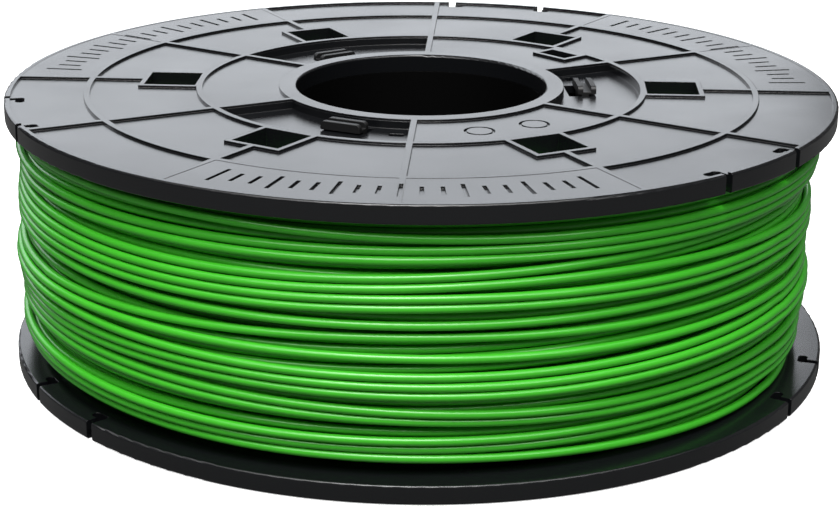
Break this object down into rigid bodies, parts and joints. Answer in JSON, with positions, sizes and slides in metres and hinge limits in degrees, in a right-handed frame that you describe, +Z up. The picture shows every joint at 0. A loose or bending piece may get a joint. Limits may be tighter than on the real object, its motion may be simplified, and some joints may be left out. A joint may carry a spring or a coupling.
{
  "type": "filament spool",
  "caption": "Flat filament spool: black ribbed flanges clipped to a hollow hub with sprung latches, wound full with round green plastic filament.",
  "frame": {"origin": "centre of the lower flange's outer face, on the spool's axis", "axes": "+Z up along the bore's axis, towards the upper flange; +X to the right and +Y to the back as the spool is usually seen"},
  "size_m": [0.18, 0.18, 0.0586],
  "materials": {
    "flange_plastic": "black moulded ABS, satin, fine spark texture",
    "hub_plastic": "black moulded ABS, smooth",
    "latch_plastic": "black moulded ABS, satin",
    "filament": "green extruded ABS filament, glossy"
  },
  "bodies": {
    "spool": {"upper_flange": "flange_plastic", "lower_flange": "flange_plastic", "bore_sleeve": "hub_plastic", "winding_drum": "hub_plastic", "hub_webs": "hub_plastic", "latch_cradles": "hub_plastic", "filament_winding": "filament"},
    "upper_latch_front_body": {"upper_latch_front": "latch_plastic"},
    "upper_latch_right_body": {"upper_latch_right": "latch_plastic"},
    "upper_latch_back_body": {"upper_latch_back": "latch_plastic"},
    "lower_latch_front_body": {"lower_latch_front": "latch_plastic"},
    "lower_latch_right_body": {"lower_latch_right": "latch_plastic"},
    "lower_latch_back_body": {"lower_latch_back": "latch_plastic"}
  },
  "joints": [
    {"name": "upper_latch_front_flex", "type": "hinge", "parent": "spool", "child": "upper_latch_front_body", "pos_m": [-0.01548, -0.03217, 0.0367], "axis": [-0.9011, 0.4337, 0], "range_deg": [0, 4.5], "stiffness_Nm_per_rad": 1.1},
    {"name": "upper_latch_right_flex", "type": "hinge", "parent": "spool", "child": "upper_latch_right_body", "pos_m": [0.0356, 0.00268, 0.0367], "axis": [0.075, -0.9972, 0], "range_deg": [0, 4.5], "stiffness_Nm_per_rad": 1.1},
    {"name": "upper_latch_back_flex", "type": "hinge", "parent": "spool", "child": "upper_latch_back_body", "pos_m": [-0.02012, 0.02949, 0.0367], "axis": [0.8261, 0.5635, 0], "range_deg": [0, 4.5], "stiffness_Nm_per_rad": 1.1},
    {"name": "lower_latch_front_flex", "type": "hinge", "parent": "spool", "child": "lower_latch_front_body", "pos_m": [0.01145, -0.03381, 0.0219], "axis": [0.9472, 0.3206, 0], "range_deg": [0, 4.5], "stiffness_Nm_per_rad": 1.1},
    {"name": "lower_latch_right_flex", "type": "hinge", "parent": "spool", "child": "lower_latch_right_body", "pos_m": [0.02356, 0.02682, 0.0219], "axis": [-0.7513, 0.66, 0], "range_deg": [0, 4.5], "stiffness_Nm_per_rad": 1.1},
    {"name": "lower_latch_back_flex", "type": "hinge", "parent": "spool", "child": "lower_latch_back_body", "pos_m": [-0.03501, 0.007, 0.0219], "axis": [-0.1959, -0.9806, 0], "range_deg": [0, 4.5], "stiffness_Nm_per_rad": 1.1}
  ]
}
